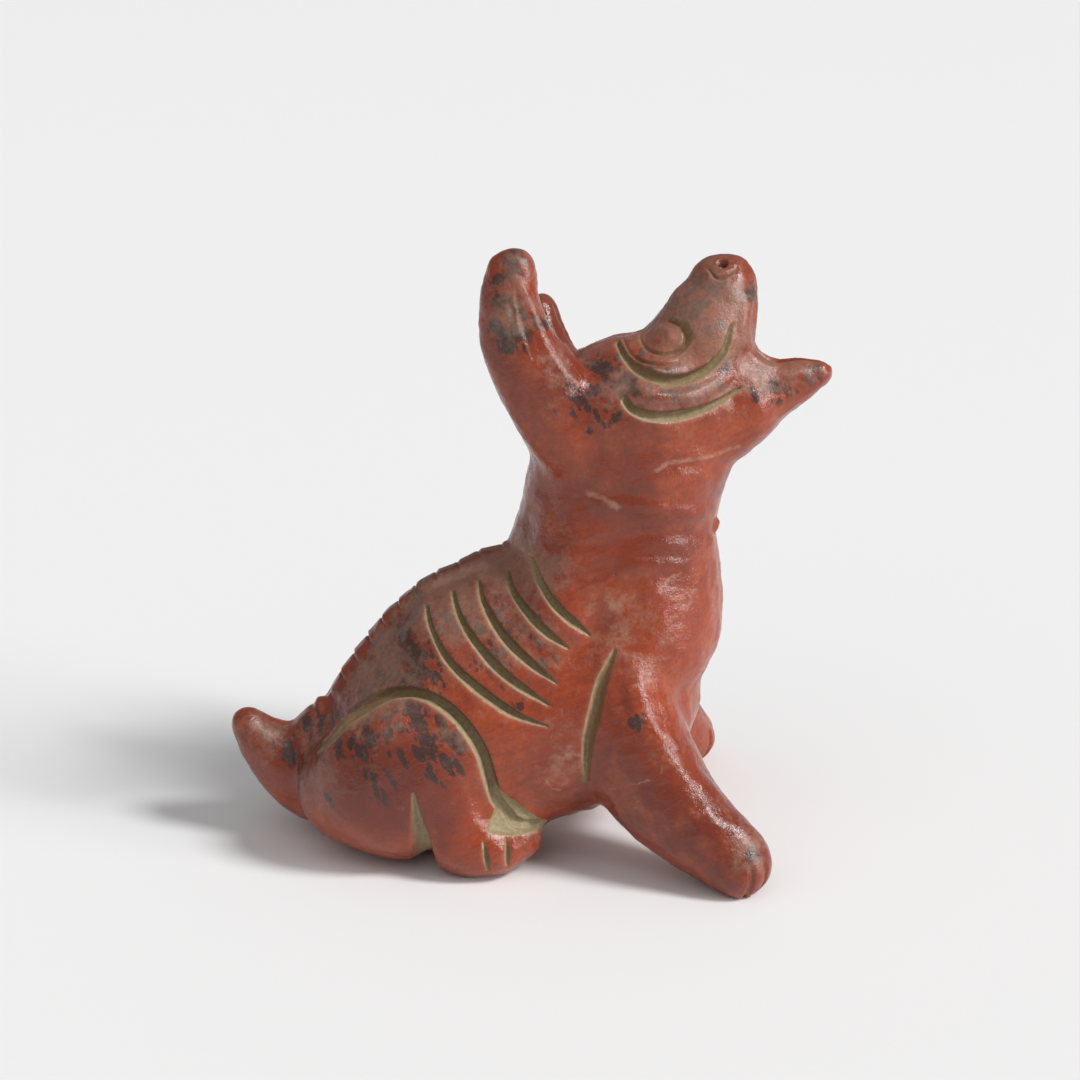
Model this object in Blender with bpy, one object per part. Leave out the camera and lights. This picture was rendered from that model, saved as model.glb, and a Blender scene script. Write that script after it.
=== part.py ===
"""Seated howling dog, a small hand-modelled redware figure in one solid of fired clay.

The figure is shaped as a potter would shape it: rolls of clay are laid together, fused and
thumbed smooth, both flanks are carved, and the head is then cocked a little to one side.
The nose points to +X, the dog's right flank faces -Y, and it sits on the ground at Z = 0.
"""

import math

import bmesh
import bpy
import numpy as np
from mathutils import Matrix, Vector

# Driving dimensions. Stations, lines and cuts are written in millimetres.
MM = 0.001
CLAY_VOXEL = 0.55 * MM
THUMB_PASSES = 40
TRIANGLE_BUDGET = 9300
SIDES = 32
SPAN_STEPS = 5
LINE_STEPS = 8
END_TURNS = (math.radians(25), math.radians(50), math.radians(74))
GROUND_SLAB = (0.2, 0.2, 0.02)

# The head turns and tilts about the top of the neck, which twists to follow between two heights.
HEAD_ROLL = math.radians(-9)
HEAD_TURN = math.radians(-9)
HEAD_SHIFT = (0.0, -2.0, 0.0)
NECK_PIVOT = (15.0, 0.0, 58.0)
NECK_TWIST = (52.0, 66.0)

# Rolls of clay. Each station is x, y, z, the radius across (along Y), and the two radii in the
# side view: towards the upper or outer side, and towards the lower or inner side.
TORSO = [
    (-31, 0, 11.5, 8.6, 10.8, 9.2),
    (-28, 0, 13.0, 12.6, 14.2, 11.8),
    (-22, 0, 15.0, 16.6, 20.0, 14.2),
    (-16, 0, 17.0, 19.0, 24.2, 15.5),
    (-10, 0, 18.5, 19.7, 25.8, 15.3),
    (-4, 0, 20.0, 19.8, 26.8, 16.0),
    (3, 0, 21.5, 19.6, 26.6, 17.0),
    (10, 0, 22.5, 19.0, 25.0, 16.8),
    (14.6, 0, 24.2, 16.4, 20.0, 13.6),
]
WITHERS = [
    (4.0, 0, 34, 16.0, 13.0, 12.0),
    (5.5, 0, 40, 15.2, 11.0, 12.0),
    (7.0, 0, 45, 14.2, 9.6, 12.0),
    (9.0, 0, 50, 13.4, 10.0, 12.0),
    (12.0, 0, 56, 12.9, 11.8, 12.0),
]
BREAST = [
    (13.6, 0, 13, 6.4, 6.0, 6.0),
    (14.4, 0, 17, 10.8, 9.8, 8.6),
    (15.0, 0, 21.5, 13.8, 11.4, 10.2),
    (15.4, 0, 26.5, 15.6, 14.8, 12.2),
    (15.6, 0, 32, 16.2, 17.0, 15.0),
    (15.2, 0, 38, 15.6, 16.7, 16.1),
    (14.8, 0, 44, 14.7, 16.6, 15.8),
    (15.0, 0, 50, 13.8, 16.8, 15.1),
    (16.0, 0, 56, 13.2, 16.2, 14.5),
    (16.8, 0, 62, 13.2, 15.8, 14.8),
    (17.0, 0, 67, 12.2, 14.4, 13.2),
]
SKULL = [
    (7, 0, 68.8, 10.8, 9.0, 8.8),
    (10, 0, 68.8, 13.2, 10.6, 10.4),
    (16, 0, 69.2, 14.0, 12.0, 11.0),
    (22, 0, 69.6, 13.0, 12.6, 11.4),
    (28, 0, 70.4, 10.0, 11.2, 10.0),
    (32, 0, 71.2, 7.4, 8.6, 7.6),
]
SNOUT = [
    (20.0, 0, 68.0, 12.0, 12.2, 12.0),
    (24.5, 0, 76.0, 9.8, 9.0, 9.2),
    (28.0, 0, 83.0, 8.0, 7.6, 7.2),
    (29.3, 0, 86.2, 6.6, 7.1, 6.0),
    (29.7, 0, 88.2, 5.5, 5.8, 5.0),
]
LOWER_JAW = [
    (22, 0, 65.0, 10.0, 9.0, 8.0),
    (30, 0, 69.6, 7.6, 7.8, 7.6),
    (36, 0, 72.4, 5.4, 5.6, 5.4),
    (41, 0, 74.6, 3.9, 3.6, 3.6),
    (44.2, 0, 75.8, 2.7, 2.1, 2.3),
]
RIGHT_EAR = [
    (9.6, -7.5, 65.0, 5.5, 7.4, 8.0),
    (4.3, -9.5, 72.0, 5.2, 6.8, 7.0),
    (0.8, -11.0, 78.5, 4.6, 6.2, 5.2),
    (-0.9, -12.0, 85.0, 4.0, 5.4, 4.2),
    (-0.9, -12.6, 90.2, 3.4, 4.2, 3.6),
]
LEFT_EAR = [
    (9.5, 7.5, 65.0, 5.5, 8.0, 8.0),
    (4.8, 9.5, 71.0, 5.0, 6.4, 6.2),
    (1.6, 11.0, 76.5, 4.4, 5.2, 4.8),
    (0.4, 11.8, 80.8, 3.8, 4.3, 3.8),
    (0.2, 12.0, 83.4, 3.1, 3.4, 3.1),
]
TAIL = [
    (-28.0, 0, 10.5, 8.2, 11.5, 11.0),
    (-34.2, 0, 10.8, 6.8, 8.8, 7.0),
    (-38.4, 0, 12.8, 5.6, 6.3, 5.4),
    (-41.6, 0, 15.4, 4.4, 4.6, 4.3),
    (-44.2, 0, 18.8, 3.1, 2.9, 2.7),
]
FRONT_LEG = [
    (12.5, -8.0, 35.0, 8.0, 8.4, 8.5),
    (16.5, -12.0, 25.5, 8.8, 6.5, 12.4),
    (20.5, -16.0, 17.5, 8.2, 5.5, 11.8),
    (25.0, -20.0, 10.8, 6.9, 5.5, 9.2),
    (29.0, -23.0, 6.4, 5.9, 5.7, 6.8),
    (31.2, -24.6, 4.2, 5.4, 5.2, 5.4),
]
LEFT_LEG_SET_BACK = 1.8
THIGH = [
    (-29.0, -9.0, 10.5, 6.8, 8.8, 9.2),
    (-24.0, -11.8, 12.5, 8.4, 12.6, 12.4),
    (-18.0, -12.4, 14.5, 8.8, 14.0, 14.4),
    (-12.5, -12.4, 15.0, 8.4, 11.6, 12.5),
    (-9.0, -12.4, 15.0, 7.4, 8.8, 9.0),
]
SHIN = [
    (-11.8, -13.4, 19.0, 6.0, 6.4, 6.0),
    (-11.4, -15.0, 12.5, 6.0, 6.2, 6.0),
    (-10.6, -16.2, 6.0, 5.6, 6.0, 6.0),
]
FOOT = [
    (-11.0, -15.6, 5.2, 5.4, 5.0, 5.4),
    (-6.5, -16.4, 4.8, 5.8, 5.0, 5.2),
    (-2.2, -15.6, 6.2, 5.0, 4.6, 4.6),
]
TORSO_PINCH = 1.15
TORSO_SQUARENESS = 0.75

# Carved lines, drawn in the side view as x, z points before the head is cocked.
RIBS = [
    [(0.7, 48.1), (2.5, 44.6), (4.9, 41.8), (9.1, 38.1)],
    [(-3.0, 45.3), (-2.2, 43.1), (2.8, 38.6), (5.8, 36.4)],
    [(-7.3, 43.7), (-6.7, 41.6), (-0.7, 34.9), (4.0, 31.5)],
    [(-11.3, 42.0), (-10.3, 39.5), (-3.7, 32.6), (2.8, 28.4)],
    [(-15.4, 39.7), (-14.4, 37.1), (-7.5, 30.4), (2.6, 25.2)],
]
SHOULDER_LINE = [(12.8, 36.2), (10.9, 31.9), (9.7, 27.5), (8.6, 22.2), (8.4, 15.8)]
HAUNCH_LINE = [
    (-32.3, 19.5), (-28.0, 24.6), (-23.4, 27.4), (-18.8, 29.0), (-14.2, 28.7),
    (-10.3, 25.9), (-7.6, 21.8), (-6.2, 16.9), (-5.1, 12.7), (-2.4, 10.0), (1.2, 9.0),
]
KNEE_LINE = [(-17.8, 15.6), (-17.5, 12.0), (-17.0, 8.3), (-16.3, 4.8), (-16.0, -1.0)]
EYE_LINE = [
    (14.0, 79.8), (15.6, 77.8), (18.0, 75.9), (21.2, 74.8), (24.5, 75.0),
    (27.4, 76.3), (29.6, 78.6), (30.9, 82.8),
]
EYE_RIM = [
    (18.0, 80.4), (19.0, 79.2), (20.9, 78.4), (22.9, 78.7), (24.2, 80.2), (23.8, 82.2), (21.2, 83.2),
]
CHEEK_LINE = [(15.8, 71.9), (17.2, 70.4), (20.8, 69.5), (25.8, 70.2), (29.4, 71.6), (32.4, 73.6)]
CHEEK_ROLL = [(16.8, 74.4), (20.2, 72.4), (25.2, 72.6), (28.9, 74.2), (31.8, 76.6)]
EAR_RIDGES = [
    [(-0.4, 88.2), (1.0, 84.2), (3.6, 79.6)],
    [(-2.4, 87.2), (-1.4, 82.6), (0.4, 78.2)],
]
SPINE_LINE = [(-33.0, 20.5), (-28.0, 27.0), (-22.0, 35.0), (-15.0, 41.2), (-8.0, 44.8), (0.0, 48.0)]
MOUTH_ROOF = [(33.8, 88.0), (33.0, 83.0), (34.0, 79.5)]
MOUTH_FLOOR = [(34.0, 79.0), (37.5, 77.2), (42.0, 77.2)]

# Each cut's width and depth, and how large it is at its line's start, middle and end.
RIB_CUT = (1.9, 1.2, (0.9, 1.0, 0.3))
SHOULDER_CUT = (2.3, 1.1, (0.4, 1.0, 0.5))
HAUNCH_CUT = (2.4, 1.3, (0.4, 1.0, 1.7))
KNEE_CUT = (3.6, 2.0, (0.15, 0.8, 1.4))
EYE_CUT = (1.7, 1.0, (0.6, 1.0, 0.5))
EYE_RIM_CUT = (1.2, 0.6, (0.5, 0.8, 1.3))
CHEEK_CUT = (1.9, 1.1, (0.8, 1.0, 0.4))
EAR_CUT = (2.2, 0.5, (0.5, 1.0, 0.4))
MOUTH_CUT = (5.0, 1.6, (0.4, 1.0, 0.5))
MOUTH_REACH = (2.0, 4.0)
MOUTH_FACING = 0.3

# What stands proud: the swelling under the eye, and the toothed ridge of the spine.
CHEEK_ROLL_WIDTH = 3.4
CHEEK_ROLL_HEIGHT = 0.6
SPINE_TEETH = 12
SPINE_HEIGHT = 1.3
SPINE_FLOOR = 0.5
SPINE_RISE = 0.22
SPINE_FALL = 0.55
SPINE_UNEVEN = 0.5
SPINE_HALF_WIDTH = 3.4
SPINE_REACH = 6.0

NOSTRIL = (29.2, 3.2, 91.8)
NOSTRIL_RADIUS = 1.1
NOSTRIL_DEPTH = 0.9

# Toes are notched round the end of a foot: its centre, and each notch's bearing in degrees from
# +X, turned outwards.
FRONT_PAW = ((30.0, 23.6), (-24, 8, 38, 66), LEFT_LEG_SET_BACK)
HIND_PAW = ((-5.2, 16.0), (-20, 25, 62, 98), 0.0)
TOE_RADII = (2.8, 3.6, 10.0)
TOE_TOP = (5.3, 6.8)
TOE_NOTCH = 0.5
TOE_DEPTH = 0.7


def smoothstep(low, high, value):
    """0 below low, 1 above high, and a smooth rise between."""
    t = np.clip((value - low) / (high - low), 0, 1)
    return t * t * (3 - 2 * t)


def spline(points, steps):
    """Points of a Catmull-Rom curve through the given ones, steps to each span."""
    known = np.array(points, float)
    padded = np.vstack([2 * known[0] - known[1], known, 2 * known[-1] - known[-2]])
    found = []
    for a, b, c, d in zip(padded, padded[1:], padded[2:], padded[3:]):
        for t in np.arange(steps) / steps:
            bend = 2 * a - 5 * b + 4 * c - d
            turn = 3 * b - a - 3 * c + d
            found.append(b + 0.5 * ((c - a) * t + bend * t**2 + turn * t**3))
    return np.array(found + [known[-1]])


def set_back(stations, distance):
    """The stations moved back, not at all at the first and by the whole distance at the last."""
    top, low = stations[0][2], stations[-1][2]
    return [(x - distance * (top - z) / (top - low), y, z, *radii) for x, y, z, *radii in stations]


def roll_of_clay(bm, stations, section_axis=None, mirrored=False, upper=1.0, lower=1.0):
    """Adds a closed roll through the stations, with rounded ends. Its sections stand square to the
    roll, or to section_axis if it is given. upper and lower shape the two halves of a section:
    under 1 is boxier than an ellipse, and over 1 is more pinched."""
    rows = spline(stations, SPAN_STEPS)
    centres, across, over, under = rows[:, :3], rows[:, 3], rows[:, 4], rows[:, 5]
    tangents = np.gradient(centres, axis=0)
    if section_axis is not None:
        tangents = np.tile(np.array(section_axis, float), (len(rows), 1))
    tangents /= np.linalg.norm(tangents, axis=1)[:, None]
    layers = list(zip(centres, tangents, across, over, under))

    # Shrinking sections round each end off.
    for sign, end in ((-1, layers[0]), (1, layers[-1])):
        centre, tangent, a, up, down = end
        reach = min(a, up, down)
        for turn in END_TURNS:
            near = centre + sign * tangent * reach * math.sin(turn)
            shrunk = math.cos(turn)
            ring = (near, tangent, a * shrunk, up * shrunk, down * shrunk)
            layers.insert(0 if sign < 0 else len(layers), ring)

    turns = np.arange(SIDES) * 2 * math.pi / SIDES
    bend = np.where(np.sin(turns) > 0, upper, lower)
    side_share = np.sign(np.cos(turns)) * np.abs(np.cos(turns)) ** bend
    deep_share = np.sign(np.sin(turns)) * np.abs(np.sin(turns)) ** bend
    loops = []
    for centre, tangent, a, up, down in layers:
        sideways = np.array([0.0, 1.0, 0.0]) - tangent[1] * tangent
        sideways /= np.linalg.norm(sideways)
        deepways = np.cross(tangent, sideways)
        deep = np.where(deep_share > 0, up, down) * deep_share
        ring = centre + a * side_share[:, None] * sideways + deep[:, None] * deepways
        if mirrored:
            ring[:, 1] *= -1
        loops.append([bm.verts.new(p * MM) for p in ring])
    for near, far in zip(loops, loops[1:]):
        for i in range(SIDES):
            j = (i + 1) % SIDES
            bm.faces.new((near[i], near[j], far[j], far[i]))
    bm.faces.new(loops[0][::-1])
    bm.faces.new(loops[-1])


def lay_the_clay():
    """One mesh that holds every roll of clay, still overlapping."""
    bm = bmesh.new()
    roll_of_clay(bm, TORSO, section_axis=(1, 0, 0), upper=TORSO_PINCH, lower=TORSO_SQUARENESS)
    roll_of_clay(bm, BREAST, section_axis=(0, 0, 1))
    roll_of_clay(bm, WITHERS, section_axis=(0, 0, 1))
    roll_of_clay(bm, SKULL, section_axis=(1, 0, 0))
    for stations in (SNOUT, LOWER_JAW, TAIL, RIGHT_EAR, LEFT_EAR):
        roll_of_clay(bm, stations)
    roll_of_clay(bm, FRONT_LEG)
    roll_of_clay(bm, set_back(FRONT_LEG, LEFT_LEG_SET_BACK), mirrored=True)
    for stations in (THIGH, SHIN, FOOT):
        roll_of_clay(bm, stations)
        roll_of_clay(bm, stations, mirrored=True)
    bmesh.ops.recalc_face_normals(bm, faces=bm.faces)
    mesh = bpy.data.meshes.new("rolls_of_clay")
    bm.to_mesh(mesh)
    bm.free()
    return mesh


def fused(mesh):
    """The rolls as one skin, with the joins thumbed smooth."""
    work = bpy.data.objects.new("fused_clay", mesh)
    bpy.context.scene.collection.objects.link(work)
    remesh = work.modifiers.new("fuse", "REMESH")
    remesh.mode = "VOXEL"
    remesh.voxel_size = CLAY_VOXEL
    smooth = work.modifiers.new("thumbed", "SMOOTH")
    smooth.factor = 0.5
    smooth.iterations = THUMB_PASSES
    graph = bpy.context.evaluated_depsgraph_get()
    skin = bpy.data.meshes.new_from_object(work.evaluated_get(graph))
    bpy.data.objects.remove(work)
    return skin


def points_and_normals(mesh):
    """The mesh's points, in millimetres, and their normals, as two arrays."""
    points = np.empty(len(mesh.vertices) * 3)
    mesh.vertices.foreach_get("co", points)
    normals = np.empty(len(mesh.vertices) * 3)
    mesh.vertices.foreach_get("normal", normals)
    return points.reshape(-1, 3) / MM, normals.reshape(-1, 3)


def along_line(flat, line):
    """Each side-view point's distance to a line, and how far along it that is, from 0 to 1."""
    path = spline(line, LINE_STEPS)
    lengths = np.concatenate([[0], np.cumsum(np.linalg.norm(np.diff(path, axis=0), axis=1))])
    best = np.full(len(flat), np.inf)
    share = np.zeros(len(flat))
    for k, (start, end) in enumerate(zip(path, path[1:])):
        step = end - start
        t = np.clip((flat - start) @ step / (step @ step), 0, 1)
        distance = np.linalg.norm(flat - start - t[:, None] * step, axis=1)
        nearer = distance < best
        best[nearer] = distance[nearer]
        here = (lengths[k] + t * (lengths[k + 1] - lengths[k])) / lengths[-1]
        share[nearer] = here[nearer]
    return best, share


def gouge(distance, share, cut):
    """How deep a rounded gouge goes at each distance from its line, which it follows by the cut's
    three sizes."""
    width, depth, sizes = cut
    size = np.interp(share, (0.0, 0.5, 1.0), sizes)
    reach = distance / (0.5 * width * size)
    return depth * np.minimum(size, 1.0) * (1 - smoothstep(0.2, 1.1, reach))


def carve_flanks(points, normals):
    """Sinks the carved lines into both flanks, and swells the roll of the cheek."""
    outward = normals[:, 1] * np.sign(points[:, 1])
    side = np.flatnonzero(outward > 0)
    facing = smoothstep(0.05, 0.35, outward[side])
    flat = points[side][:, [0, 2]]
    carved = [(rib, RIB_CUT) for rib in RIBS] + [(ridge, EAR_CUT) for ridge in EAR_RIDGES] + [
        (SHOULDER_LINE, SHOULDER_CUT),
        (HAUNCH_LINE, HAUNCH_CUT),
        (KNEE_LINE, KNEE_CUT),
        (EYE_LINE, EYE_CUT),
        (EYE_RIM, EYE_RIM_CUT),
        (CHEEK_LINE, CHEEK_CUT),
    ]
    sunk = np.zeros(len(side))
    for line, cut in carved:
        distance, share = along_line(flat, line)
        sunk = np.maximum(sunk, gouge(distance, share, cut))
    distance, share = along_line(flat, CHEEK_ROLL)
    swell = CHEEK_ROLL_HEIGHT * (1 - smoothstep(0.1, 0.5, distance / CHEEK_ROLL_WIDTH))
    sunk -= swell * np.sqrt(np.sin(math.pi * share))
    moved = points.copy()
    moved[side] -= normals[side] * (sunk * facing)[:, None]
    return moved


def open_mouth(points, normals):
    """Hollows the roof and the floor of the mouth between its lips."""
    width, depth, sizes = MOUTH_CUT
    moved = points.copy()
    faces = ((MOUTH_ROOF, normals[:, 0]), (MOUTH_FLOOR, normals[:, 2]))
    for line, into_mouth in faces:
        distance, share = along_line(points[:, [0, 2]], line)
        half = 0.5 * width * np.interp(share, (0.0, 0.5, 1.0), sizes)
        hollow = depth * (1 - smoothstep(0.3, 1.0, np.abs(points[:, 1]) / half))
        near = (1 - smoothstep(*MOUTH_REACH, distance)) * (into_mouth > MOUTH_FACING)
        moved -= normals * (hollow * near)[:, None]
    return moved


def pierce_nostrils(points, normals):
    """Presses a small pit into each side of the nose."""
    right_half = np.column_stack([points[:, 0], np.abs(points[:, 1]), points[:, 2]])
    away = np.linalg.norm(right_half - NOSTRIL, axis=1)
    pit = NOSTRIL_DEPTH * (1 - smoothstep(0.3, 1.0, away / NOSTRIL_RADIUS))
    return points - normals * pit[:, None]


def notch_toes(points, normals):
    """Short notches round the end of each foot, which part its toes."""
    moved = points.copy()
    inner, outer, limit = TOE_RADII
    low = 1 - smoothstep(*TOE_TOP, points[:, 2])
    for (x, y), bearings, left_set_back in (FRONT_PAW, HIND_PAW):
        ahead = points[:, 0] - x + left_set_back * (points[:, 1] > 0)
        outwards = np.abs(points[:, 1]) - y
        radius = np.hypot(ahead, outwards)
        bearing = np.arctan2(outwards, ahead)
        front = smoothstep(inner, outer, radius) * (radius < limit)
        for degrees in bearings:
            off = np.abs(bearing - math.radians(degrees)) * radius
            notch = TOE_DEPTH * (1 - smoothstep(0.2, 1.6, off / TOE_NOTCH))
            moved -= normals * (notch * low * front)[:, None]
    return moved


def raise_spine(points, normals):
    """Lifts a ridge along the back, whose uneven teeth rise fast and fall slowly."""
    distance, share = along_line(points[:, [0, 2]], SPINE_LINE)
    teeth = share * SPINE_TEETH
    through = teeth % 1.0
    tall = 1 - SPINE_UNEVEN * np.sin(3 * np.floor(teeth)) ** 2
    tooth = smoothstep(0.0, SPINE_RISE, through) * (1 - SPINE_FALL * through) * tall
    height = SPINE_HEIGHT * (SPINE_FLOOR + (1 - SPINE_FLOOR) * tooth)
    ends = smoothstep(0.0, 0.03, share) * (1 - smoothstep(0.94, 1.0, share))
    across = 1 - smoothstep(0.15, 1.0, np.abs(points[:, 1]) / SPINE_HALF_WIDTH)
    near = (distance < SPINE_REACH) & (normals[:, 2] > 0.1)
    return points + normals * (height * ends * across * near)[:, None]


def cocked(points):
    """The head turned and tilted about the top of the neck, which twists to follow."""
    pivot = np.array(NECK_PIVOT)
    turn = np.array(Matrix.Rotation(HEAD_TURN, 3, "Z") @ Matrix.Rotation(HEAD_ROLL, 3, "X"))
    moved = (points - pivot) @ turn.T + pivot + np.array(HEAD_SHIFT)
    share = smoothstep(*NECK_TWIST, points[:, 2])[:, None]
    return points * (1 - share) + moved * share


def burnished_redware():
    """Fired red clay, burnished to a soft sheen."""
    material = bpy.data.materials.new("burnished_redware")
    material.use_nodes = True
    shader = material.node_tree.nodes["Principled BSDF"]
    shader.inputs["Base Color"].default_value = (0.34, 0.075, 0.035, 1.0)
    shader.inputs["Roughness"].default_value = 0.42
    shader.inputs["Metallic"].default_value = 0.0
    return material


def ground_cutter():
    """A slab whose top is the ground. It cuts the flats that the feet and haunches rest on."""
    bm = bmesh.new()
    bmesh.ops.create_cube(bm, size=1.0)
    bmesh.ops.scale(bm, vec=Vector(GROUND_SLAB), verts=bm.verts)
    bmesh.ops.translate(bm, vec=Vector((0, 0, -GROUND_SLAB[2] / 2)), verts=bm.verts)
    mesh = bpy.data.meshes.new("ground_cutter")
    bm.to_mesh(mesh)
    bm.free()
    cutter = bpy.data.objects.new("ground_cutter", mesh)
    cutter.hide_render = True
    cutter.display_type = "WIRE"
    bpy.context.scene.collection.objects.link(cutter)
    return cutter


def main():
    for leftover in list(bpy.data.objects):
        bpy.data.objects.remove(leftover)

    skin = fused(lay_the_clay())
    points, normals = points_and_normals(skin)
    for shape in (raise_spine, carve_flanks, open_mouth, pierce_nostrils, notch_toes):
        points = shape(points, normals)
    skin.vertices.foreach_set("co", (cocked(points) * MM).ravel())
    skin.update()
    skin.shade_smooth()
    skin.materials.clear()
    skin.materials.append(burnished_redware())
    skin.name = "dog_figure"
    figure = bpy.data.objects.new("dog_figure", skin)
    bpy.context.scene.collection.objects.link(figure)

    fewer = figure.modifiers.new("fewer_faces", "DECIMATE")
    fewer.ratio = TRIANGLE_BUDGET / sum(len(face.vertices) - 2 for face in skin.polygons)
    fewer.use_collapse_triangulate = True
    rest = figure.modifiers.new("rest_flats", "BOOLEAN")
    rest.operation = "DIFFERENCE"
    rest.object = ground_cutter()


main()
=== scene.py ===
import math

import bpy
import numpy as np
from mathutils import Matrix


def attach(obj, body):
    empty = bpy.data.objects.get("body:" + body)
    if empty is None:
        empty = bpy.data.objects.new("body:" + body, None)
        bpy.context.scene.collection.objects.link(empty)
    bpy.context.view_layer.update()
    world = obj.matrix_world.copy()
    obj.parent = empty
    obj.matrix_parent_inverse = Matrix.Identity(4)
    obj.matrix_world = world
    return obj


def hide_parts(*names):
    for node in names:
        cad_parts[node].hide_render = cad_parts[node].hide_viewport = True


# Seated howling dog in burnished redware: the fine shape and the finish of the one piece of clay.
# Nose to +X, the right flank to -Y, the ground at Z = 0. Shapes are written in millimetres.

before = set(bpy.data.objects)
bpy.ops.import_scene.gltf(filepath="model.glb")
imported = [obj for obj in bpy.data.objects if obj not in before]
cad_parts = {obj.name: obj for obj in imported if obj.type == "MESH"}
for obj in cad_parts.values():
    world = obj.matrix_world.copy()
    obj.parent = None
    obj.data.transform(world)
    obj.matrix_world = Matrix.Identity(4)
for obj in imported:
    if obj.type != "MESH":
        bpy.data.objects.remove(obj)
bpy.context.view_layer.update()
mm = 0.001

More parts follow.
